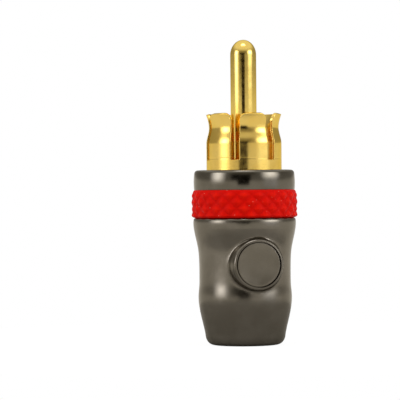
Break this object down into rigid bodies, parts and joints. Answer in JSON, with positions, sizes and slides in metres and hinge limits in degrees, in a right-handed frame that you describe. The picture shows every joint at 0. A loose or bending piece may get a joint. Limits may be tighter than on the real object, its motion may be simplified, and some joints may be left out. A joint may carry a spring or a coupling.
{
  "type": "rca plug",
  "caption": "Right-angle phono plug with a solderless cable clamp, a petalled ground shell, a round-nosed centre pin and a knurled colour band.",
  "frame": {"origin": "middle of the flat rear end, which the plug stands on", "axes": "+Z along the contact pin, towards its tip; +Y out of the cable entry; the round badge boss faces -Y"},
  "size_m": [0.0132, 0.0132, 0.0376],
  "materials": {
    "black_nickel": "black nickel plate on a zinc casting, glossy",
    "ring_nickel": "black nickel plate on turned brass, mirror bright",
    "red_rubber": "moulded, matte",
    "shell_gold": "gold plate, bright",
    "pin_gold": "gold plate, bright",
    "sleeve_gold": "gold plate, bright",
    "screw_gold": "gold plate, turned",
    "inner_gold": "gold plate",
    "insulator": "smooth moulded polymer",
    "fibre": "punched sheet"
  },
  "bodies": {
    "plug": {"housing": "black_nickel", "nose_ring": "ring_nickel", "colour_band": "red_rubber", "ground_shell": "shell_gold", "centre_pin": "pin_gold", "pin_insulator": "insulator", "contact_strip": "inner_gold", "divider_washer": "fibre", "cable_sleeve": "sleeve_gold", "spike_holder": "insulator", "core_spike": "inner_gold"},
    "tip": {"screw_tip": "screw_gold"},
    "screw": {"clamp_screw": "screw_gold"}
  },
  "joints": [
    {"name": "clamp_travel", "type": "slide", "parent": "plug", "child": "tip", "axis": [0, 0, 1], "range_m": [0, 0.0015]},
    {"name": "clamp_turn", "type": "hinge", "parent": "tip", "child": "screw", "pos_m": [0, 0, 0.003], "axis": [0, 0, 1], "range_deg": [0, 1080]}
  ],
  "couplings": [
    {"joint": "clamp_turn", "follows": "clamp_travel", "rad_per_m": 12566}
  ]
}
